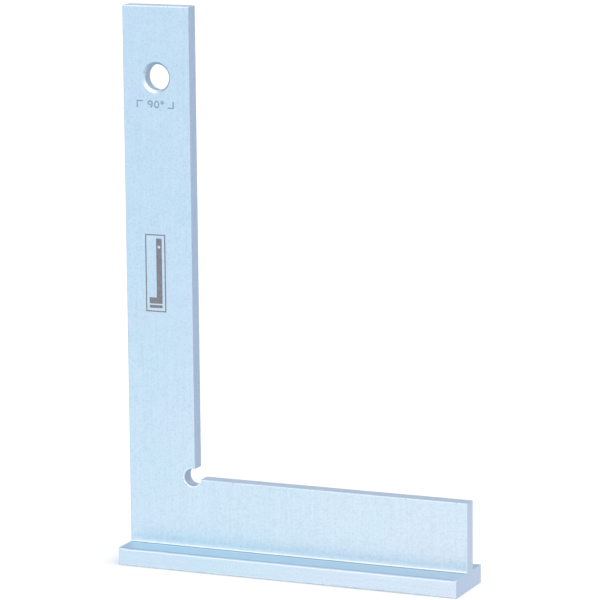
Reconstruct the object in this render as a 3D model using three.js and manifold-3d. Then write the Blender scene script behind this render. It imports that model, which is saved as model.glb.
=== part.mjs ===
// Flanged steel square, 150 x 100 mm.
// A flat L-shaped blade stands on a wider base bar, the flange that is pushed against a workpiece.
// The blade's foot stands in a shallow seat along the top of the base bar, between its two ledges.
// Dowel pins come up through the base bar into the foot of the blade and hold the two together.
// Millimetres. The sole of the base bar is at z = 0 and its middle is at x = y = 0.
// The heel, where the long leg rises, is at the low end of x.

import * as THREE from 'three';
import { mergeVertices } from 'three/addons/utils/BufferGeometryUtils.js';
import Module from 'manifold-3d';

// Base bar
const LENGTH = 100;
const BASE_WIDTH = 19;
const BASE_THICKNESS = 5;
const SEAT_DEPTH = 0.1;
const SEAT_CLEARANCE = 0.05;

// Blade, its heights measured from the top of the base bar
const BLADE_HEIGHT = 150;
const BLADE_THICKNESS = 4.4;
const LONG_LEG_WIDTH = 19.8;
const SHORT_LEG_HEIGHT = 19.3;
const FRONT_STOP_WIDTH = 8.2;
const EDGE_BREAK = 0.3;

// Relief hole in the inside corner, its centre a little way into the corner
const RELIEF_RADIUS = 2.5;
const RELIEF_INSET = 0.7;
const RELIEF_RISE = 0.4;
const RELIEF_CHAMFER = 0.2;

// Hanging hole in the middle of the long leg
const HANG_HOLE_RADIUS = 3.6;
const HANG_HOLE_BELOW_TIP = 19.6;
const HANG_HOLE_CHAMFER = 0.7;

// Dowel pins
const PIN_COUNT = 4;
const PIN_SPACING = 26;
const PIN_RADIUS = 1.25;
const PIN_CLEARANCE = 0.05;
const PIN_DEPTH_IN_BLADE = 6;
const PIN_END_CHAMFER = 0.2;

// Facets around a full circle
const HOLE_SEGMENTS = 64;
const PIN_SEGMENTS = 32;

// How far a cutter runs past the face that it cuts
const OVERSHOOT = 1;

const HEEL_X = -LENGTH / 2;
const BLADE_FRONT_Y = -BASE_WIDTH / 2 + FRONT_STOP_WIDTH;
const BLADE_MIDDLE_Y = BLADE_FRONT_Y + BLADE_THICKNESS / 2;
const FOOT_Z = BASE_THICKNESS - SEAT_DEPTH;
const PIN_TOP_Z = FOOT_Z + PIN_DEPTH_IN_BLADE;

const wasm = await Module();
wasm.setup();

function solidFrom(geometry) {
  const bare = geometry.clone();
  bare.deleteAttribute('normal');
  bare.deleteAttribute('uv');
  const merged = mergeVertices(bare);
  return new wasm.Manifold(new wasm.Mesh({
    numProp: 3,
    vertProperties: merged.attributes.position.array,
    triVerts: new Uint32Array(merged.index.array),
  }));
}

function geometryFrom(solid) {
  const mesh = solid.getMesh();
  const geometry = new THREE.BufferGeometry();
  geometry.setAttribute('position', new THREE.BufferAttribute(mesh.vertProperties, 3));
  geometry.setIndex(new THREE.BufferAttribute(mesh.triVerts, 1));
  geometry.computeVertexNormals();
  return geometry;
}

// Plain L of the blade in its own plane: x from the heel, y up from the top of the base bar.
function bladeOutline() {
  const outline = new THREE.Shape();
  outline.moveTo(0, -SEAT_DEPTH);
  outline.lineTo(LENGTH, -SEAT_DEPTH);
  outline.lineTo(LENGTH, SHORT_LEG_HEIGHT);
  outline.lineTo(LONG_LEG_WIDTH, SHORT_LEG_HEIGHT);
  outline.lineTo(LONG_LEG_WIDTH, BLADE_HEIGHT);
  outline.lineTo(0, BLADE_HEIGHT);
  outline.closePath();
  return outline;
}

// Flat plate of the blade's outline with its front and back edges broken all round.
function bladePlate() {
  const geometry = new THREE.ExtrudeGeometry(bladeOutline(), {
    depth: BLADE_THICKNESS - 2 * EDGE_BREAK,
    bevelThickness: EDGE_BREAK,
    bevelSize: EDGE_BREAK,
    bevelOffset: -EDGE_BREAK,
    bevelSegments: 1,
  });
  geometry.rotateX(Math.PI / 2);
  geometry.translate(HEEL_X, BLADE_FRONT_Y + BLADE_THICKNESS - EDGE_BREAK, BASE_THICKNESS);
  return solidFrom(geometry);
}

// Cutter for a round hole through the blade, chamfered at both mouths.
// Its centre is given from the heel and up from the top of the base bar.
function holeCutter(fromHeel, height, radius, chamfer) {
  const half = BLADE_THICKNESS / 2;
  const mouth = radius + chamfer;
  const profile = [
    new THREE.Vector2(0, -half - OVERSHOOT),
    new THREE.Vector2(mouth, -half - OVERSHOOT),
    new THREE.Vector2(mouth, -half),
    new THREE.Vector2(radius, -half + chamfer),
    new THREE.Vector2(radius, half - chamfer),
    new THREE.Vector2(mouth, half),
    new THREE.Vector2(mouth, half + OVERSHOOT),
    new THREE.Vector2(0, half + OVERSHOOT),
  ];
  const geometry = new THREE.LatheGeometry(profile, HOLE_SEGMENTS);
  geometry.translate(HEEL_X + fromHeel, BLADE_MIDDLE_Y, BASE_THICKNESS + height);
  return solidFrom(geometry);
}

function hangHoleCutter() {
  const height = BLADE_HEIGHT - HANG_HOLE_BELOW_TIP;
  return holeCutter(LONG_LEG_WIDTH / 2, height, HANG_HOLE_RADIUS, HANG_HOLE_CHAMFER);
}

function reliefCutter() {
  const fromHeel = LONG_LEG_WIDTH - RELIEF_INSET;
  return holeCutter(fromHeel, SHORT_LEG_HEIGHT + RELIEF_RISE, RELIEF_RADIUS, RELIEF_CHAMFER);
}

function pinX(index) {
  return (index - (PIN_COUNT - 1) / 2) * PIN_SPACING;
}

// Upright cutter for one pin's hole, from z = low to z = high.
function pinHoleCutter(index, low, high) {
  const radius = PIN_RADIUS + PIN_CLEARANCE;
  const geometry = new THREE.CylinderGeometry(radius, radius, high - low, PIN_SEGMENTS);
  geometry.rotateX(Math.PI / 2);
  geometry.translate(pinX(index), BLADE_MIDDLE_Y, (low + high) / 2);
  return solidFrom(geometry);
}

function bladeGeometry() {
  let solid = bladePlate().subtract(hangHoleCutter()).subtract(reliefCutter());
  for (let index = 0; index < PIN_COUNT; index += 1) {
    solid = solid.subtract(pinHoleCutter(index, FOOT_Z - OVERSHOOT, PIN_TOP_Z));
  }
  return geometryFrom(solid);
}

// Cross-section of the base bar, its four long edges broken.
function baseSection() {
  const half = BASE_WIDTH / 2;
  const section = new THREE.Shape();
  section.moveTo(-half + EDGE_BREAK, 0);
  section.lineTo(half - EDGE_BREAK, 0);
  section.lineTo(half, EDGE_BREAK);
  section.lineTo(half, BASE_THICKNESS - EDGE_BREAK);
  section.lineTo(half - EDGE_BREAK, BASE_THICKNESS);
  section.lineTo(-half + EDGE_BREAK, BASE_THICKNESS);
  section.lineTo(-half, BASE_THICKNESS - EDGE_BREAK);
  section.lineTo(-half, EDGE_BREAK);
  section.closePath();
  return section;
}

function seatCutter() {
  const width = BLADE_THICKNESS + 2 * SEAT_CLEARANCE;
  const height = SEAT_DEPTH + OVERSHOOT;
  const geometry = new THREE.BoxGeometry(LENGTH + 2 * OVERSHOOT, width, height);
  geometry.translate(0, BLADE_MIDDLE_Y, FOOT_Z + height / 2);
  return solidFrom(geometry);
}

function baseGeometry() {
  const bar = new THREE.ExtrudeGeometry(baseSection(), { depth: LENGTH, bevelEnabled: false });
  bar.rotateX(Math.PI / 2);
  bar.rotateZ(Math.PI / 2);
  bar.translate(HEEL_X, 0, 0);
  let solid = solidFrom(bar).subtract(seatCutter());
  for (let index = 0; index < PIN_COUNT; index += 1) {
    solid = solid.subtract(pinHoleCutter(index, -OVERSHOOT, BASE_THICKNESS + OVERSHOOT));
  }
  return geometryFrom(solid);
}

// Pin along its own y, flat at the sole end and chamfered at the end that enters the blade.
function pinGeometry() {
  const profile = [
    new THREE.Vector2(0, 0),
    new THREE.Vector2(PIN_RADIUS, 0),
    new THREE.Vector2(PIN_RADIUS, PIN_TOP_Z - PIN_END_CHAMFER),
    new THREE.Vector2(PIN_RADIUS - PIN_END_CHAMFER, PIN_TOP_Z),
    new THREE.Vector2(0, PIN_TOP_Z),
  ];
  return new THREE.LatheGeometry(profile, PIN_SEGMENTS);
}

function zincSteel() {
  return new THREE.MeshStandardMaterial({ color: 0xc6deef, metalness: 0.85, roughness: 0.42 });
}

function bareSteel() {
  return new THREE.MeshStandardMaterial({ color: 0xb4bac2, metalness: 0.95, roughness: 0.35 });
}

function named(name, geometry, material) {
  const mesh = new THREE.Mesh(geometry, material);
  mesh.name = name;
  return mesh;
}

const square = new THREE.Group();
square.add(named('blade', bladeGeometry(), zincSteel()));
square.add(named('base_bar', baseGeometry(), zincSteel()));
for (let index = 0; index < PIN_COUNT; index += 1) {
  const pin = named(`dowel_pin_${index + 1}`, pinGeometry(), bareSteel());
  pin.rotation.x = Math.PI / 2;
  pin.position.set(pinX(index), BLADE_MIDDLE_Y, 0);
  square.add(pin);
}

export default square;
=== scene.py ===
"""Looks of a flanged steel square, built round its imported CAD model.

Metres, in the CAD model's frame: the sole of the base bar is at z = 0, the heel is at the low end
of x, and the front of the square faces -y.
"""

import math
from typing import NamedTuple, Optional

import bmesh
import bpy
from mathutils import Matrix, Vector, noise


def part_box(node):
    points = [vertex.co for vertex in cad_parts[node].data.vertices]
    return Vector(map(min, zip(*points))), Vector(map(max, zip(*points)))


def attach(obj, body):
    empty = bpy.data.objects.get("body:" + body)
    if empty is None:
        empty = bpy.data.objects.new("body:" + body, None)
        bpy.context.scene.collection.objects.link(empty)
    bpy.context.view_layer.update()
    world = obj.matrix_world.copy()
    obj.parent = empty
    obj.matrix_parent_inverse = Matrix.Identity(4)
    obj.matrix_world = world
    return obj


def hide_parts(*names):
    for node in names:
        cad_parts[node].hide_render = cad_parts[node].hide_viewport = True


MM = 0.001

# Shapes that a node's box doesn't give, the same as in the CAD model
SEAT_DEPTH = 0.1 * MM
SEAT_CLEARANCE = 0.05 * MM
LONG_LEG_WIDTH = 19.8 * MM
SHORT_LEG_WIDTH = 19.3 * MM
RELIEF_RADIUS = 2.5 * MM
RELIEF_INSET = 0.7 * MM
RELIEF_RISE = 0.4 * MM
HANG_HOLE_RADIUS = 3.6 * MM
HANG_HOLE_BELOW_TIP = 19.6 * MM
PIN_NODES = ("dowel_pin_1", "dowel_pin_2", "dowel_pin_3", "dowel_pin_4")
PIN_CLEARANCE = 0.05 * MM

# Fillets of plating between blade and base bar: their width, the height of the step at their toe,
# how far they reach into the metal, and how far short of the base bar's ends they stop
FILLET_LEG = 0.4 * MM
FILLET_STEP = 0.12 * MM
FILLET_SUNK = 0.04 * MM
FILLET_SHORT = 0.2 * MM


class Edge(NamedTuple):
    """One kind of edge of a plate. Values over 0 turn the zinc pale, partly real rubbing and partly a
    painted highlight, and values under 0 paint it dark as a painted shade line.
    """

    width: float  # of its rounding
    flat: float = 0  # painted light where the rounding meets the flat: highlight over 0, shade under 0
    rim: float = 0  # painted light at the last of the rounding, where it meets the wall: highlight over 0, shade under 0
    wall: float = 0  # painted light of the wall: highlight over 0, shade under 0
    strip: float = 0.2 * MM  # how far the painted light fades out over the flat
    under: Optional[float] = None  # painted light of the whole rounding on the low side, if it differs


# The kinds of edge. Their values over 0 paint pale highlight lines, partly taken as rubbing, and
# their values under 0 paint dark shade lines.
SHARP = Edge(0)
# The tip: a painted highlight on the faces by its edge, and a painted shade line where the rounding
# meets its top
TIP = Edge(0.22 * MM, flat=0.8, rim=-3, strip=0.3 * MM)
# The heel: a faint painted shade line along its edge
HEEL = Edge(0.15 * MM, flat=-0.35, rim=-0.35)
# The inner edge: a faint painted highlight
INNER_EDGE = Edge(0.15 * MM, flat=0.12)
# The short leg's top: a painted highlight on the faces by its edge, and a painted shade line where
# the rounding meets its top
SHORT_LEG_TOP = Edge(0.26 * MM, flat=0.3, rim=-2.5)
# The short leg's end: a painted highlight along its edges
SHORT_LEG_END = Edge(0.15 * MM, flat=0.25)
# The foot: a painted highlight band up the faces from the foot, and painted shade where it sits in
# the seat
FOOT = Edge(0.15 * MM, flat=0.8, rim=-1, strip=1.6 * MM)
# The relief hole: a painted highlight round its mouth, and painted shade on its wall
RELIEF = Edge(0.2 * MM, flat=0.8, rim=0.8, wall=-0.45)
# The hanging hole's mouth: a painted highlight crescent on one part and painted shade on the rest,
# with painted shade on its wall
HOLE_HIGHLIGHT = Edge(0.7 * MM, flat=0.1, rim=0.42, wall=-0.35)
HOLE_SHADE = Edge(0.7 * MM, flat=0.25, rim=-0.6, wall=-0.35)
# The base bar's long sides: a painted shade line on the top by the edge, a painted highlight where
# the rounding meets the side, and a painted highlight on the whole rounding at the sole
BAR_SIDE = Edge(0.55 * MM, flat=-1.4, rim=2.2, strip=0.5 * MM, under=0.8)
# The step at a fillet's toe: painted shade on its wall
FILLET_TOE = Edge(0, wall=-1)
BAR_END = Edge(0.1 * MM)
PIN = Edge(0.06 * MM)

# Where the hanging hole's mouth has painted shade, clockwise as seen from the front
HOLE_SHADE_FROM = math.radians(165)
HOLE_SHADE_TO = math.radians(-70)

# Corners of the outlines, the steps of a rounding, and how late in it the painted light at its rim
# sets in
BLADE_CORNER_RADIUS = 0.4 * MM
BAR_CORNER_RADIUS = 0.32 * MM
ROUNDING_STEPS = 4
RIM_POWER = 3

# By what share a rounding's width varies along the edge, and how far apart its waves are
UNEVENNESS = 0.22
UNEVEN_WAVE = 7 * MM

# Spacing of the points along an outline, and the turn from which its corner is a crease
STRAIGHT_STEP = 1 * MM
ARC_STEP = math.radians(7)
SHARP_TURN = math.radians(30)

# How far the marks stand out of the blade, and how deep they are let into it
MARK_PROUD = 0.012 * MM
MARK_SUNK = 0.1 * MM

# The panel with the pictogram, placed from the heel and from the sole
PANEL_CORNER = Vector((5.8, 70.6)) * MM
PANEL_SIZE = Vector((6.1, 21.6)) * MM
PANEL_LINE = 0.34 * MM
PANEL_MARGIN = 1.1 * MM
PANEL_LEG = 1.7 * MM
PANEL_BAR = 0.8 * MM
PANEL_GAP = 0.4 * MM
PANEL_HOLE_RADIUS = 0.42 * MM
PANEL_HOLE_DROP = 2.4 * MM

# The sign, placed in the same way. SIGN_STEPS are its figures' places from its left end.
SIGN_CORNER = Vector((4.1, 126.95)) * MM
SIGN_LENGTH = 10.8 * MM
SIGN_HEIGHT = 2.2 * MM
SIGN_FOOT = 1.7 * MM
SIGN_LINE = 0.42 * MM
SIGN_STEPS = Vector((3.9, 5.85, 7.5)) * MM
DIGIT_HALF_WIDTH = 0.6 * MM
DEGREE_RADIUS = 0.33 * MM
RING_POINTS = 24

# The nine's bowl as a share of its half-height, the fraction of a turn that the bowl takes, and
# the points of its stem in half-widths and half-heights from the middle
NINE_BOWL = 0.55
NINE_SWEEP = 0.82
NINE_STEM = ((0.86, -0.45), (0.2, -1))

# Grinding marks per metre along x, y and z
BLADE_GRAIN = (2600, 2600, 60)
BAR_GRAIN = (60, 2600, 2600)
FILLET_GRAIN = (300, 1500, 1500)
PIN_GRAIN = (3500, 400, 400)

# Noise scales per metre of the zinc's features
CLOUD_SCALE = 55
PATCH_SCALE = 260
SPECK_SCALE = 2000
STAIN_SCALE = 1100
RUB_SCALE = 700
NICK_SCALE = 1000

# How strongly each feature of the zinc shows
PATCH_SHARE = 0.6
SPECK_SHARE = 0.55
GRINDING_SHARE = 0.24
STAIN_SHARE = 0.28
# How far the painted shade lines darken the zinc
SHADE_LINE_SHARE = 0.75

# How far stains rise up the blade's foot, and the heights between which nicks set in
STAIN_RISE = 9 * MM
NICKS_START = 7 * MM
NICKS_FULL = 9 * MM

# Colours of the zinc, its pale rubbed colour that is partly a painted highlight, its painted shade
# lines and its nicks, then the painted shade of its upward faces at the heel and at the other end
ZINC_CYAN = (0.665, 0.83, 0.92, 1)
ZINC_VIOLET = (0.705, 0.82, 0.935, 1)
ZINC_PALE = (0.735, 0.865, 0.95, 1)
ZINC_DULL = (0.53, 0.65, 0.76, 1)
ZINC_STAIN = (0.48, 0.66, 0.76, 1)
ZINC_RUBBED_HIGHLIGHT = (0.93, 0.96, 0.98, 1)
ZINC_SHADE_LINE = (0.33, 0.42, 0.52, 1)
NICK_GREY = (0.30, 0.34, 0.42, 1)
BLADE_TOP_SHADES = ((0.63, 0.74, 0.81, 1), (0.63, 0.74, 0.81, 1))
BAR_TOP_SHADES = ((0.57, 0.765, 0.875, 1), (0.55, 0.67, 0.77, 1))

# Two tones each for the fillets, pins, marks and floor, the fillets' pale tones partly a painted
# highlight, and the painted shade along a fillet's toe
FILLET_TONES = ((0.76, 0.86, 0.92, 1), (0.85, 0.91, 0.95, 1))
FILLET_TOE_SHADE = (0.22, 0.33, 0.42, 1)
PIN_TONES = ((0.52, 0.54, 0.57, 1), (0.36, 0.35, 0.34, 1))
DEEP_ETCH_TONES = ((0.165, 0.155, 0.17, 1), (0.23, 0.235, 0.26, 1))
LIGHT_ETCH_TONES = ((0.22, 0.32, 0.41, 1), (0.28, 0.39, 0.48, 1))
FLOOR_TONES = ((0.86, 0.86, 0.86, 1), (0.87, 0.87, 0.87, 1))
BLACK = (0, 0, 0, 1)

# Noise scales per metre of the pins' stains, the marks' burn and grain, and the floor's shade
PIN_STAIN_SCALE = 900
ETCH_BURN_SCALE = 1400
ETCH_GRAIN_SCALE = 5000
FLOOR_SCALE = 6

# Camera
AIM = Vector((1.87, -1.3, 76.64)) * MM
DISTANCE = 967 * MM
AZIMUTH = math.radians(23.18)
ELEVATION = math.radians(10.3)
ROLL = math.radians(0.5)
FOCAL_LENGTH = 214.8
SENSOR_WIDTH = 36
CLIP_END = 100

# Floor, and the wall that stands round its edge
FLOOR_SIDE = 12
BACKDROP_HEIGHT = 3
BACKDROP_SEGMENTS = 96
BACKDROP_LIGHT = (1.17, 1.17, 1.17, 1)

# Studio light: the directions of its dim back, its softbox and its floor, the cosines from those
# directions between which each fades in, and the colours
STUDIO_BACK = (0.2, 0.98, 0)
STUDIO_SOFTBOX = (0.35, -0.12, 0.93)
STUDIO_BELOW = (0, 0, -1)
STUDIO_BACK_FADE = (-0.7, 0.95)
STUDIO_SOFTBOX_FADE = (0.62, 0.85)
STUDIO_BELOW_FADE = (0.5, 0.95)
STUDIO_FRONT_LIGHT = (0.832, 0.925, 1.015, 1)
STUDIO_BACK_LIGHT = (0.545, 0.577, 0.695, 1)
STUDIO_TOP_LIGHT = (2.1, 2.0, 1.95, 1)
STUDIO_FLOOR_LIGHT = (0.38, 0.46, 0.52, 1)

# Upright cards that only the metal mirrors, one in front and one behind the right end. The front
# one turns from its left colour to its right one along x, and fades into the studio up z.
FRONT_CARD_LOW = Vector((-220, -60, -22)) * MM
FRONT_CARD_HIGH = Vector((160, -60, 80)) * MM
FRONT_CARD_LEFT = (0.92, 1.0, 1.04, 1)
FRONT_CARD_RIGHT = (1.12, 1.07, 1.07, 1)
FRONT_CARD_TURN = (-75 * MM, 35 * MM)
FRONT_CARD_FADE = (5 * MM, 75 * MM)
BACK_CARD_LOW = Vector((45, 80, -30)) * MM
BACK_CARD_HIGH = Vector((140, 80, 20)) * MM
BACK_CARD_LIGHT = (0.787, 0.777, 0.885, 1)


# ---------------------------------------------------------------- outlines

def straight(start, end):
    """Points from start up to but not including end, a step apart."""
    start = Vector(start)
    end = Vector(end)
    count = max(1, math.ceil((end - start).length / STRAIGHT_STEP))
    return [start.lerp(end, i / count) for i in range(count)]


def arc(centre, radius, first, last):
    """Points from angle first up to but not including angle last."""
    count = max(2, math.ceil(abs(last - first) / ARC_STEP))
    angles = [first + (last - first) * i / count for i in range(count)]
    return [Vector(centre) + radius * Vector((math.cos(a), math.sin(a))) for a in angles]


class Outline:
    """A closed loop of points, each with the kind of edge that runs on from it.

    The edges are rounded in a number of steps, and one step makes them flat chamfers.
    """

    def __init__(self, steps=ROUNDING_STEPS):
        self.points = []
        self.edges = []
        self.steps = steps

    def add(self, points, edge):
        self.points += points
        self.edges += [edge] * len(points)
        return self

    def line(self, start, end, edge):
        return self.add(straight(start, end), edge)

    def bend(self, centre, radius, first, last, edge):
        return self.add(arc(centre, radius, first, last), edge)


def polygon(points, hole=False):
    """A sharp-edged outline through points given anticlockwise, turned round for a hole."""
    corners = [Vector(point) for point in points]
    if hole:
        corners.reverse()
    return Outline().add(corners, SHARP)


def rectangle(corner, size, hole=False):
    x, y = corner
    w, h = size
    return polygon([(x, y), (x + w, y), (x + w, y + h), (x, y + h)], hole)


def stroke(points, width):
    """A sharp-edged outline round a line of even width through the points."""
    points = [Vector(point) for point in points]
    first = points[0] * 2 - points[1]
    last = points[-1] * 2 - points[-2]
    run = [first] + points + [last]
    aside = [inward(*run[i:i + 3])[0] * width / 2 for i in range(len(points))]
    right = [point - step for point, step in zip(points, aside)]
    left = [point + step for point, step in zip(points, aside)]
    return Outline().add(right + left[::-1], SHARP)


def circle(centre, radius, edge, hole=True):
    """A full circle with flat chamfers, clockwise for a hole to keep the metal on its left."""
    turn = -math.tau if hole else math.tau
    return Outline(steps=1).bend(centre, radius, 0, turn, edge)


def blade_outline(length, height):
    """The L of the blade from the heel's foot, anticlockwise, with the relief hole in its corner."""
    r = BLADE_CORNER_RADIUS
    quarter = math.pi / 2
    leg_top = SEAT_DEPTH + SHORT_LEG_WIDTH
    relief = Vector((LONG_LEG_WIDTH - RELIEF_INSET, leg_top + RELIEF_RISE))
    foot_cut = relief.x + math.sqrt(RELIEF_RADIUS ** 2 - RELIEF_RISE ** 2)
    leg_cut = relief.y + math.sqrt(RELIEF_RADIUS ** 2 - RELIEF_INSET ** 2)
    first = math.atan2(-RELIEF_RISE, foot_cut - relief.x)
    last = math.atan2(leg_cut - relief.y, RELIEF_INSET) - math.tau
    out = Outline()
    out.line((0, 0), (length, 0), FOOT)
    out.line((length, 0), (length, leg_top - r), SHORT_LEG_END)
    out.bend((length - r, leg_top - r), r, 0, quarter, SHORT_LEG_END)
    out.line((length - r, leg_top), (foot_cut, leg_top), SHORT_LEG_TOP)
    out.bend(relief, RELIEF_RADIUS, first, last, RELIEF)
    out.line((LONG_LEG_WIDTH, leg_cut), (LONG_LEG_WIDTH, height - r), INNER_EDGE)
    out.bend((LONG_LEG_WIDTH - r, height - r), r, 0, quarter, INNER_EDGE)
    out.line((LONG_LEG_WIDTH - r, height), (r, height), TIP)
    out.bend((r, height - r), r, quarter, 2 * quarter, TIP)
    out.line((0, height - r), (0, 0), HEEL)
    return out


def hang_hole(height):
    """The hanging hole through a blade of this height, with a painted highlight along its heel side
    and bottom, and painted shade round the rest of its mouth and on its wall.
    """
    centre = (LONG_LEG_WIDTH / 2, height - HANG_HOLE_BELOW_TIP)
    radius = HANG_HOLE_RADIUS
    out = Outline(steps=1)
    out.bend(centre, radius, HOLE_SHADE_FROM, HOLE_SHADE_TO, HOLE_SHADE)
    out.bend(centre, radius, HOLE_SHADE_TO, HOLE_SHADE_FROM - math.tau, HOLE_HIGHLIGHT)
    return out


def bar_outline(length, width):
    """The base bar seen from above, with small round corners."""
    r = BAR_CORNER_RADIUS
    quarter = math.pi / 2
    out = Outline()
    out.line((r, 0), (length - r, 0), BAR_SIDE)
    out.bend((length - r, r), r, -quarter, 0, BAR_END)
    out.line((length, r), (length, width - r), BAR_END)
    out.bend((length - r, width - r), r, 0, quarter, BAR_END)
    out.line((length - r, width), (r, width), BAR_SIDE)
    out.bend((r, width - r), r, quarter, 2 * quarter, BAR_END)
    out.line((0, width - r), (0, r), BAR_END)
    out.bend((r, r), r, 2 * quarter, 3 * quarter, BAR_END)
    return out


# ---------------------------------------------------------------- plates

def inward(before, here, after):
    """The mitred direction into the metal at a point, and the cosine of the turn there."""
    a = (here - before).normalized()
    b = (after - here).normalized()
    left = Vector((-a.y - b.y, a.x + b.x))
    turn = a.dot(b)
    return left / (1 + turn), turn


def uneven(width, distance, seed):
    """A rounding's width at a distance along it, as a hand-deburred edge varies."""
    wave = noise.noise(Vector((distance / UNEVEN_WAVE, seed, 0)))
    return width * (1 + UNEVENNESS * wave)


def ring_profile(edge, width, thickness, steps):
    """(offset into the metal, height) across the edge, from the low flat to the high one."""
    if edge.width == 0:
        return [(0, 0), (0, thickness)]
    low = [(width + edge.strip, 0)]
    for step in range(steps + 1):
        angle = math.pi / 2 * step / steps
        low.append((width * (1 - math.sin(angle)), width * (1 - math.cos(angle))))
    return low + [(offset, thickness - up) for offset, up in reversed(low)]


def band_light_and_wear(edge, steps):
    """The painted highlight and shade, partly rubbing, at the two sides of each band between the rows
    of a ring profile.
    """
    wall = [(edge.wall, edge.wall)]
    if edge.width == 0:
        return wall
    turns = [step / steps for step in range(steps + 1)]
    light_and_wear_level = [edge.flat + (edge.rim - edge.flat) * turn ** RIM_POWER for turn in turns]
    side = [(0, edge.flat)] + list(zip(light_and_wear_level, light_and_wear_level[1:]))
    high = [(far, near) for near, far in reversed(side)]
    low = side
    if edge.under is not None:
        low = [(0, edge.under)] + [(edge.under, edge.under)] * steps
    return low + wall + high


def add_ring(bm, here, direction, profile):
    """The vertices across the edge at one point of an outline."""
    spots = [here + direction * offset for offset, _ in profile]
    return [bm.verts.new((spot.x, spot.y, up)) for spot, (_, up) in zip(spots, profile)]


def join_rings(bm, light_and_wear_layer, near, far, bands):
    """The strip of faces between two neighbouring rings."""
    for k, (first, last) in enumerate(bands):
        face = bm.faces.new((near[k], far[k], far[k + 1], near[k + 1]))
        face.smooth = True
        for loop, light_and_wear_level in zip(face.loops, (first, first, last, last)):
            loop[light_and_wear_layer] = light_and_wear_level


def add_rim(bm, light_and_wear_layer, outline, thickness, seed):
    """Rounded edges and wall all round one outline. Returns its low and high boundary edges."""
    count = len(outline.points)
    rings = []
    turns = []
    distance = 0
    for i, here in enumerate(outline.points):
        before = outline.points[i - 1]
        after = outline.points[(i + 1) % count]
        direction, turn = inward(before, here, after)
        distance += (here - before).length
        meeting = (outline.edges[i - 1], outline.edges[i])
        narrow = min(meeting, key=lambda edge: (edge.width, edge.strip))
        width = uneven(narrow.width, distance, seed)
        profile = ring_profile(narrow, width, thickness, outline.steps)
        rings.append(add_ring(bm, here, direction, profile))
        turns.append(turn)
    last = len(rings[0]) - 1
    borders = {1, last // 2, last // 2 + 1, last - 1}
    low = []
    high = []
    for i, near in enumerate(rings):
        far = rings[(i + 1) % count]
        join_rings(bm, light_and_wear_layer, near, far, band_light_and_wear(outline.edges[i], outline.steps))
        if last > 1:
            for k in borders:
                bm.edges.get((near[k], far[k])).smooth = False
        if turns[i] < math.cos(SHARP_TURN):
            for k in range(last):
                bm.edges.get((near[k], near[k + 1])).smooth = False
        low.append(bm.edges.get((near[0], far[0])))
        high.append(bm.edges.get((near[last], far[last])))
    return low, high


def plate(name, shells, thickness, place):
    """A flat piece with rounded edges, drawn in x and y and thick along z, then set in place.

    Each shell is closed: its first outline goes round it, and any others are holes through it.
    """
    bm = bmesh.new()
    light_and_wear_layer = bm.loops.layers.float.new("light_and_wear")
    for outlines in shells:
        low = []
        high = []
        for seed, outline in enumerate(outlines):
            more_low, more_high = add_rim(bm, light_and_wear_layer, outline, thickness, seed)
            low += more_low
            high += more_high
        bmesh.ops.triangle_fill(bm, use_beauty=True, edges=low, normal=(0, 0, -1))
        bmesh.ops.triangle_fill(bm, use_beauty=True, edges=high, normal=(0, 0, 1))
    bmesh.ops.recalc_face_normals(bm, faces=bm.faces)
    bmesh.ops.transform(bm, matrix=place, verts=bm.verts)
    if place.determinant() < 0:
        bmesh.ops.reverse_faces(bm, faces=bm.faces)
    return mesh_object(name, bm)


def mesh_object(name, bm):
    mesh = bpy.data.meshes.new(name)
    bm.to_mesh(mesh)
    bm.free()
    piece = bpy.data.objects.new(name, mesh)
    bpy.context.scene.collection.objects.link(piece)
    return piece


def cut(piece, cutter):
    """Takes the cutter's shape out of the piece for good, and removes the cutter."""
    modifier = piece.modifiers.new("cut", "BOOLEAN")
    modifier.operation = "DIFFERENCE"
    modifier.solver = "EXACT"
    modifier.object = cutter
    depsgraph = bpy.context.evaluated_depsgraph_get()
    done = bpy.data.meshes.new_from_object(piece.evaluated_get(depsgraph), depsgraph=depsgraph)
    piece.modifiers.clear()
    piece.data = done
    bpy.data.objects.remove(cutter)


def upright(origin):
    """Turns a drawing's y to run up the square and its thickness to run backwards."""
    return Matrix.Translation(origin) @ Matrix(((1, 0, 0), (0, 0, 1), (0, 1, 0))).to_4x4()


# ---------------------------------------------------------------- pieces

def make_blade():
    low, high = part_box("blade")
    size = high - low
    shell = [blade_outline(size.x, size.z), hang_hole(size.z)]
    blade = plate("blade_plate", [shell], size.y, upright(low))
    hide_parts("blade")
    return blade


def seat_cutter():
    """The shallow seat for the blade's foot, running out past both ends of the base bar."""
    low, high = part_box("blade")
    corner = (low.x - SEAT_DEPTH, low.y - SEAT_CLEARANCE)
    length = high.x - low.x + 2 * SEAT_DEPTH
    width = high.y - low.y + 2 * SEAT_CLEARANCE
    place = Matrix.Translation((0, 0, low.z))
    return plate("seat", [[rectangle(corner, (length, width))]], 2 * SEAT_DEPTH, place)


def make_bar():
    low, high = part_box("base_bar")
    size = high - low
    shell = [bar_outline(size.x, size.y)]
    for node in PIN_NODES:
        pin_low, pin_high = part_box(node)
        middle = (pin_low + pin_high) / 2 - low
        radius = (pin_high.x - pin_low.x) / 2 + PIN_CLEARANCE
        shell.append(circle((middle.x, middle.y), radius, PIN))
    bar = plate("base_bar_plate", [shell], size.z, Matrix.Translation(low))
    cut(bar, seat_cutter())
    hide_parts("base_bar")
    return bar


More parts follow.
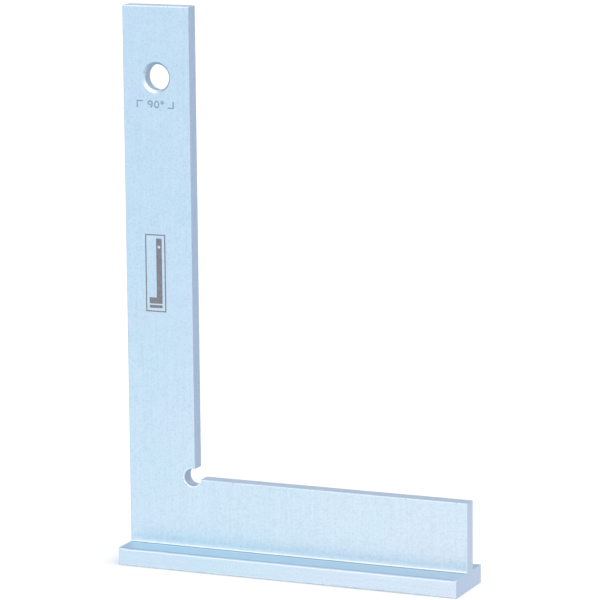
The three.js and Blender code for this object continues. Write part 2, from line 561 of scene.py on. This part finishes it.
def make_fillet(name, edge_y, outward):
    """A fine fillet of plating along the corner between the blade and a ledge.

    It is drawn with its corner at the origin, and outward is the direction that the ledge lies in.
    """
    bar_low, bar_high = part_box("base_bar")
    toe = FILLET_LEG
    top = FILLET_STEP + FILLET_LEG
    back = -FILLET_SUNK
    outline = Outline()
    outline.add([Vector((toe, back))], FILLET_TOE)
    outline.bend((toe, top), toe, -math.pi / 2, -math.pi, SHARP)
    outline.add([Vector((0, top)), Vector((back, top)), Vector((back, back))], SHARP)
    length = bar_high.x - bar_low.x - 2 * FILLET_SHORT
    across = Matrix(((0, 0, 1), (outward, 0, 0), (0, 1, 0))).to_4x4()
    place = Matrix.Translation((bar_low.x + FILLET_SHORT, edge_y, bar_high.z)) @ across
    return plate(name, [[outline]], length, place)


def make_pin(node):
    low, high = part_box(node)
    middle = (low + high) / 2
    radius = (high.x - low.x) / 2
    outline = circle((0, 0), radius, PIN, hole=False)
    place = Matrix.Translation((middle.x, middle.y, low.z))
    pin = plate(node + "_turned", [[outline]], high.z - low.z, place)
    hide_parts(node)
    return pin


def make_mark(name, shells):
    """A thin dark mark let into the front of the blade."""
    blade_low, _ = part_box("blade")
    bar_low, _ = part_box("base_bar")
    origin = Vector((bar_low.x, blade_low.y - MARK_PROUD, bar_low.z))
    return plate(name, shells, MARK_PROUD + MARK_SUNK, upright(origin))


def panel_shells():
    """An upright frame with a plain pictogram of a square on its base bar in it, seen from behind."""
    line = Vector((PANEL_LINE, PANEL_LINE))
    frame_line = [
        rectangle(PANEL_CORNER, PANEL_SIZE),
        rectangle(PANEL_CORNER + line, PANEL_SIZE - 2 * line, hole=True),
    ]
    margin = Vector((PANEL_MARGIN, PANEL_MARGIN))
    x, y = PANEL_CORNER + margin
    right, top = PANEL_CORNER + PANEL_SIZE - margin
    bar = rectangle((x, y), (right - x, PANEL_BAR))
    foot = y + PANEL_BAR + PANEL_GAP
    square = polygon([
        (x, foot),
        (right, foot),
        (right, top),
        (right - PANEL_LEG, top),
        (right - PANEL_LEG, foot + PANEL_LEG),
        (x, foot + PANEL_LEG),
    ])
    hole_centre = (right - PANEL_LEG / 2, top - PANEL_HOLE_DROP)
    hole = circle(hole_centre, PANEL_HOLE_RADIUS, SHARP)
    return [frame_line, [bar], [square, hole]]


def oval(centre, across, up, turns):
    """Points of an upright oval at the given fractions of a turn, anticlockwise from the right."""
    x, y = centre
    angles = [math.tau * turn for turn in turns]
    return [(x + across * math.cos(a), y + up * math.sin(a)) for a in angles]


def ring(centre, across, up, line):
    """An upright oval ring, its half-widths measured to the middle of its line."""
    turns = [i / RING_POINTS for i in range(RING_POINTS)]
    outer = oval(centre, across + line / 2, up + line / 2, turns)
    inner = oval(centre, across - line / 2, up - line / 2, turns)
    return [polygon(outer), polygon(inner, hole=True)]


def nine(centre, across, height, line):
    """A figure nine drawn in one stroke, its height measured from the middle.

    The stroke stops just short of touching itself.
    """
    x, y = centre
    bowl = height * NINE_BOWL
    steps = round(RING_POINTS * NINE_SWEEP)
    turns = [NINE_SWEEP - i / RING_POINTS for i in range(steps + 1)]
    points = oval((x, y + height - bowl), across, bowl, turns)
    points += [(x + across * u, y + height * v) for u, v in NINE_STEM]
    return [stroke(points, line)]


def sign_shells():
    """Ninety degrees between two corner brackets."""
    x, y = SIGN_CORNER
    half = (SIGN_HEIGHT - SIGN_LINE) / 2
    middle = y + SIGN_HEIGHT / 2
    low = middle - half
    top = middle + half
    right = x + SIGN_LENGTH
    return [
        [stroke([(x + SIGN_FOOT, top), (x, top), (x, low)], SIGN_LINE)],
        nine((x + SIGN_STEPS[0], middle), DIGIT_HALF_WIDTH, half, SIGN_LINE),
        ring((x + SIGN_STEPS[1], middle), DIGIT_HALF_WIDTH, half, SIGN_LINE),
        ring((x + SIGN_STEPS[2], top - DEGREE_RADIUS), DEGREE_RADIUS, DEGREE_RADIUS, SIGN_LINE),
        [stroke([(right - SIGN_FOOT, low), (right, low), (right, top)], SIGN_LINE)],
    ]


# ---------------------------------------------------------------- materials

class Nodes:
    """The node tree of a material or a world, with short calls to add nodes and link them."""

    def __init__(self, owner):
        owner.use_nodes = True
        self.tree = owner.node_tree

    def add(self, kind, inputs=None, **settings):
        node = self.tree.nodes.new(kind)
        for key, value in settings.items():
            setattr(node, key, value)
        for key, value in (inputs or {}).items():
            self.put(node.inputs[key], value)
        return node

    def put(self, socket, value):
        if isinstance(value, bpy.types.NodeSocket):
            self.tree.links.new(value, socket)
        else:
            socket.default_value = value

    def place(self):
        return self.add("ShaderNodeTexCoord").outputs["Object"]

    def stretched(self, scale):
        inputs = {"Vector": self.place(), "Scale": scale}
        return self.add("ShaderNodeMapping", inputs).outputs["Vector"]

    def noise(self, vector, scale, detail=3.0, roughness=0.5):
        inputs = {"Vector": vector, "Scale": scale, "Detail": detail, "Roughness": roughness}
        return self.add("ShaderNodeTexNoise", inputs).outputs["Fac"]

    def remap(self, value, low, high, to_low=0.0, to_high=1.0):
        inputs = {
            "Value": value,
            "From Min": low,
            "From Max": high,
            "To Min": to_low,
            "To Max": to_high,
        }
        return self.add("ShaderNodeMapRange", inputs).outputs["Result"]

    def math(self, operation, first, second):
        return self.add("ShaderNodeMath", {0: first, 1: second}, operation=operation).outputs[0]

    def mix(self, amount, first, second):
        """A colour part of the way from the first to the second."""
        inputs = {0: amount, 6: first, 7: second}
        return self.add("ShaderNodeMix", inputs, data_type="RGBA").outputs[2]

    def dot(self, first, second):
        inputs = {0: first, 1: second}
        node = self.add("ShaderNodeVectorMath", inputs, operation="DOT_PRODUCT")
        return node.outputs["Value"]

    def attribute(self, name):
        return self.add("ShaderNodeAttribute", attribute_name=name).outputs["Fac"]

    def bump(self, height, distance, strength):
        inputs = {"Height": height, "Distance": distance, "Strength": strength}
        return self.add("ShaderNodeBump", inputs).outputs["Normal"]


def new_material(name):
    material = bpy.data.materials.new(name)
    nodes = Nodes(material)
    return material, nodes, nodes.tree.nodes["Principled BSDF"]


def zinc(name, grain, top_shades, stain_low, stain_high):
    """Satin blue-passivated zinc over ground steel.

    grain stretches the grinding marks, the third argument gives the painted shade of the upward faces
    at the heel and at the other end, and the metal is stained more and more from stain_high down to
    stain_low.
    """
    material, n, bsdf = new_material(name)
    place = n.place()
    where = n.add("ShaderNodeSeparateXYZ", {0: place})
    along = where.outputs["X"]
    height = where.outputs["Z"]
    light_and_wear = n.attribute("light_and_wear")
    clouds = n.remap(n.noise(place, CLOUD_SCALE, 2), 0.35, 0.65)
    patches = n.remap(n.noise(place, PATCH_SCALE, 3, 0.6), 0.3, 0.7)
    specks = n.noise(place, SPECK_SCALE, 2, 0.6)
    grinding = n.noise(n.stretched(grain), 1, 3, 0.6)
    blots = n.remap(n.noise(place, STAIN_SCALE, 3, 0.6), 0.46, 0.66)
    stains = n.math("MULTIPLY", n.remap(height, stain_high, stain_low), blots)

    tint = n.mix(clouds, ZINC_CYAN, ZINC_VIOLET)
    tint = n.mix(n.math("MULTIPLY", patches, PATCH_SHARE), tint, ZINC_PALE)
    tint = n.mix(n.remap(specks, 0.46, 0.76, 0, SPECK_SHARE), tint, ZINC_DULL)
    tint = n.mix(n.remap(grinding, 0.45, 0.8, 0, GRINDING_SHARE), tint, ZINC_DULL)
    tint = n.mix(n.math("MULTIPLY", stains, STAIN_SHARE), tint, ZINC_STAIN)

    # Upward faces are painted in a darker tone, changing from the heel to the other end: painted
    # shade
    normal = n.add("ShaderNodeNewGeometry").outputs["True Normal"]
    facing_up = n.add("ShaderNodeSeparateXYZ", {0: normal}).outputs["Z"]
    bar_low, bar_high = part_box("base_bar")
    top_shade = n.mix(n.remap(along, bar_low.x, bar_high.x), *top_shades)
    tint = n.mix(n.remap(facing_up, 0.9, 1), tint, top_shade)

    # Where the edge values are over 0 the zinc turns pale and less metallic: partly real rubbing,
    # partly a painted highlight
    broken = n.remap(n.noise(place, RUB_SCALE, 3), 0.3, 0.5, 0.5, 1)
    rubbed_highlight = n.math("MAXIMUM", n.math("MULTIPLY", light_and_wear, broken), 0)
    tint = n.mix(rubbed_highlight, tint, ZINC_RUBBED_HIGHLIGHT)
    # Where the edge values are under 0 the zinc is painted darker, as painted shade lines
    tint = n.mix(n.remap(light_and_wear, 0, -1, 0, SHADE_LINE_SHARE), tint, ZINC_SHADE_LINE)
    edges = n.remap(light_and_wear, 0.15, 0.28)
    edges = n.math("MULTIPLY", edges, n.remap(height, NICKS_START, NICKS_FULL))
    nicks = n.math("MULTIPLY", edges, n.remap(n.noise(place, NICK_SCALE, 2), 0.64, 0.69))
    n.put(bsdf.inputs["Base Color"], n.mix(nicks, tint, NICK_GREY))
    n.put(bsdf.inputs["Metallic"], n.remap(rubbed_highlight, 0, 1, 1, 0.35))

    roughness = n.remap(patches, 0, 1, 0.36, 0.42)
    roughness = n.math("ADD", roughness, n.remap(grinding, 0.3, 0.7, -0.04, 0.05))
    n.put(bsdf.inputs["Roughness"], roughness)

    relief = n.math("ADD", n.math("MULTIPLY", specks, 0.6), grinding)
    n.put(bsdf.inputs["Normal"], n.bump(relief, 0.012 * MM, 0.4))
    return material


def fillet_metal():
    """The zinc's thick build-up in a corner, paler and less metallic than the zinc, partly as a
    painted highlight, with painted shade along its toe.
    """
    material, n, bsdf = new_material("fillet_metal")
    lumps = n.remap(n.noise(n.stretched(FILLET_GRAIN), 1, 3, 0.6), 0.35, 0.65)
    # Painted shade on the step at the toe, where the edge values are under 0
    toe = n.remap(n.attribute("light_and_wear"), 0, -1)
    tint = n.mix(toe, n.mix(lumps, *FILLET_TONES), FILLET_TOE_SHADE)
    n.put(bsdf.inputs["Base Color"], tint)
    n.put(bsdf.inputs["Metallic"], n.remap(lumps, 0, 1, 0.7, 0.4))
    n.put(bsdf.inputs["Roughness"], n.remap(lumps, 0, 1, 0.3, 0.42))
    n.put(bsdf.inputs["Normal"], n.bump(lumps, 0.01 * MM, 0.5))
    return material


def pin_steel():
    """Bare ground steel with grinding lines and a little staining."""
    material, n, bsdf = new_material("pin_steel")
    grain = n.noise(n.stretched(PIN_GRAIN), 1, 3)
    stain = n.remap(n.noise(n.place(), PIN_STAIN_SCALE, 3), 0.4, 0.7, 0, 0.5)
    n.put(bsdf.inputs["Base Color"], n.mix(stain, *PIN_TONES))
    n.put(bsdf.inputs["Roughness"], n.remap(grain, 0.3, 0.7, 0.28, 0.44))
    bsdf.inputs["Metallic"].default_value = 1.0
    n.put(bsdf.inputs["Normal"], n.bump(grain, 0.01 * MM, 0.6))
    return material


def etched_mark(name, tones):
    """Matt grey oxide, a little uneven where the steel shows through it."""
    material, n, bsdf = new_material(name)
    place = n.place()
    burn = n.remap(n.noise(place, ETCH_BURN_SCALE, 3, 0.6), 0.35, 0.7)
    n.put(bsdf.inputs["Base Color"], n.mix(burn, *tones))
    n.put(bsdf.inputs["Roughness"], n.remap(burn, 0, 1, 0.75, 0.6))
    grain = n.noise(place, ETCH_GRAIN_SCALE, 2)
    n.put(bsdf.inputs["Normal"], n.bump(grain, 0.01 * MM, 0.5))
    return material


def pale_floor():
    material, n, bsdf = new_material("pale_floor")
    shade = n.remap(n.noise(n.place(), FLOOR_SCALE, 3), 0.3, 0.7)
    n.put(bsdf.inputs["Base Color"], n.mix(shade, *FLOOR_TONES))
    bsdf.inputs["Roughness"].default_value = 0.8
    bsdf.inputs["Specular IOR Level"].default_value = 0.2
    return material


def glowing(name):
    """A material that does nothing but give off light. Its emission colour is set by the caller."""
    material, n, bsdf = new_material(name)
    bsdf.inputs["Base Color"].default_value = BLACK
    bsdf.inputs["Specular IOR Level"].default_value = 0
    bsdf.inputs["Emission Strength"].default_value = 1
    return material, n, bsdf


# ---------------------------------------------------------------- stage

def make_camera():
    data = bpy.data.cameras.new("camera")
    data.lens = FOCAL_LENGTH
    data.sensor_width = SENSOR_WIDTH
    data.clip_end = CLIP_END
    camera = bpy.data.objects.new("camera", data)
    turn = Matrix.Rotation(AZIMUTH, 4, "Z")
    tilt = Matrix.Rotation(math.pi / 2 - ELEVATION, 4, "X")
    roll = Matrix.Rotation(-ROLL, 4, "Z")
    back = Matrix.Translation((0, 0, DISTANCE))
    camera.matrix_world = Matrix.Translation(AIM) @ turn @ tilt @ back @ roll
    bpy.context.scene.collection.objects.link(camera)
    bpy.context.scene.camera = camera


def make_floor():
    """A pale floor that the satin metal doesn't mirror, so that the studio sets its tone."""
    bm = bmesh.new()
    bmesh.ops.create_grid(bm, x_segments=1, y_segments=1, size=FLOOR_SIDE / 2)
    floor = mesh_object("floor", bm)
    floor.data.materials.append(pale_floor())
    floor.visible_glossy = False


def make_backdrop():
    """A white wall all round on the floor, seen by the camera alone, so that no horizon shows."""
    bm = bmesh.new()
    radius = FLOOR_SIDE / 2
    place = Matrix.Translation((0, 0, BACKDROP_HEIGHT / 2))
    bmesh.ops.create_cone(
        bm,
        segments=BACKDROP_SEGMENTS,
        radius1=radius,
        radius2=radius,
        depth=BACKDROP_HEIGHT,
        matrix=place,
    )
    backdrop = mesh_object("backdrop", bm)
    material, _, bsdf = glowing("backdrop")
    bsdf.inputs["Emission Color"].default_value = BACKDROP_LIGHT
    backdrop.data.materials.append(material)
    backdrop.visible_diffuse = False
    backdrop.visible_glossy = False
    backdrop.visible_shadow = False


def make_card(name, low, high):
    """An upright card that only the metal mirrors. Returns its nodes, to set what it gives off.

    It reaches below the floor, because the metal doesn't mirror the floor.
    """
    bm = bmesh.new()
    corners = [(low.x, low.z), (high.x, low.z), (high.x, high.z), (low.x, high.z)]
    bm.faces.new([bm.verts.new((x, low.y, z)) for x, z in corners])
    card = mesh_object(name, bm)
    material, n, bsdf = glowing(name)
    card.data.materials.append(material)
    card.visible_camera = False
    card.visible_diffuse = False
    card.visible_shadow = False
    return n, bsdf


def make_cards():
    """A front card that is palest at its right, and fades out upwards, and a plain one behind."""
    n, bsdf = make_card("front_card", FRONT_CARD_LOW, FRONT_CARD_HIGH)
    where = n.add("ShaderNodeSeparateXYZ", {0: n.place()})
    right = n.remap(where.outputs["X"], *FRONT_CARD_TURN)
    up = n.remap(where.outputs["Z"], *FRONT_CARD_FADE)
    light = n.mix(right, FRONT_CARD_LEFT, FRONT_CARD_RIGHT)
    n.put(bsdf.inputs["Emission Color"], n.mix(up, light, STUDIO_FRONT_LIGHT))
    _, bsdf = make_card("back_card", BACK_CARD_LOW, BACK_CARD_HIGH)
    bsdf.inputs["Emission Color"].default_value = BACK_CARD_LIGHT


def make_world():
    """A soft studio, with a broad softbox overhead, and dimmer behind than in front."""
    world = bpy.data.worlds.new("studio")
    bpy.context.scene.world = world
    n = Nodes(world)
    direction = n.add("ShaderNodeTexCoord").outputs["Generated"]
    behind = n.remap(n.dot(direction, STUDIO_BACK), *STUDIO_BACK_FADE)
    softbox = n.remap(n.dot(direction, STUDIO_SOFTBOX), *STUDIO_SOFTBOX_FADE)
    below = n.remap(n.dot(direction, STUDIO_BELOW), *STUDIO_BELOW_FADE)
    light = n.mix(behind, STUDIO_FRONT_LIGHT, STUDIO_BACK_LIGHT)
    light = n.mix(softbox, light, STUDIO_TOP_LIGHT)
    light = n.mix(below, light, STUDIO_FLOOR_LIGHT)
    n.put(n.tree.nodes["Background"].inputs["Color"], light)


# ---------------------------------------------------------------- scene

def finish_piece(piece, material):
    """Gives a piece its material and its slot, and makes it ride on the square's only body."""
    piece.data.materials.clear()
    piece.data.materials.append(material)
    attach(piece, "root")


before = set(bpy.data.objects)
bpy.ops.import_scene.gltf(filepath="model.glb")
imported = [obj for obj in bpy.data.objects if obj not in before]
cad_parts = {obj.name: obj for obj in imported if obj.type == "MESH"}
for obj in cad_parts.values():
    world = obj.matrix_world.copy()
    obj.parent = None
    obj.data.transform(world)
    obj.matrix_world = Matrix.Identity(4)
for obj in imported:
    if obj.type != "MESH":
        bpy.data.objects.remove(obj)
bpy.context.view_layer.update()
bpy.context.scene.view_settings.view_transform = "Standard"

make_camera()
make_world()
make_floor()
make_backdrop()
make_cards()

_, bar_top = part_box("base_bar")
zinc_blade = zinc("zinc_blade", BLADE_GRAIN, BLADE_TOP_SHADES, bar_top.z, bar_top.z + STAIN_RISE)
zinc_bar = zinc("zinc_bar", BAR_GRAIN, BAR_TOP_SHADES, -STAIN_RISE, 0)
finish_piece(make_blade(), zinc_blade)
finish_piece(make_bar(), zinc_bar)
blade_low, blade_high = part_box("blade")
bright_zinc = fillet_metal()
finish_piece(make_fillet("fillet_front", blade_low.y, -1), bright_zinc)
finish_piece(make_fillet("fillet_rear", blade_high.y, 1), bright_zinc)

pin_material = pin_steel()
for node in PIN_NODES:
    finish_piece(make_pin(node), pin_material)

deep_etch = etched_mark("etched_deep", DEEP_ETCH_TONES)
light_etch = etched_mark("etched_light", LIGHT_ETCH_TONES)
finish_piece(make_mark("mark_panel", panel_shells()), deep_etch)
finish_piece(make_mark("mark_angle", sign_shells()), light_etch)
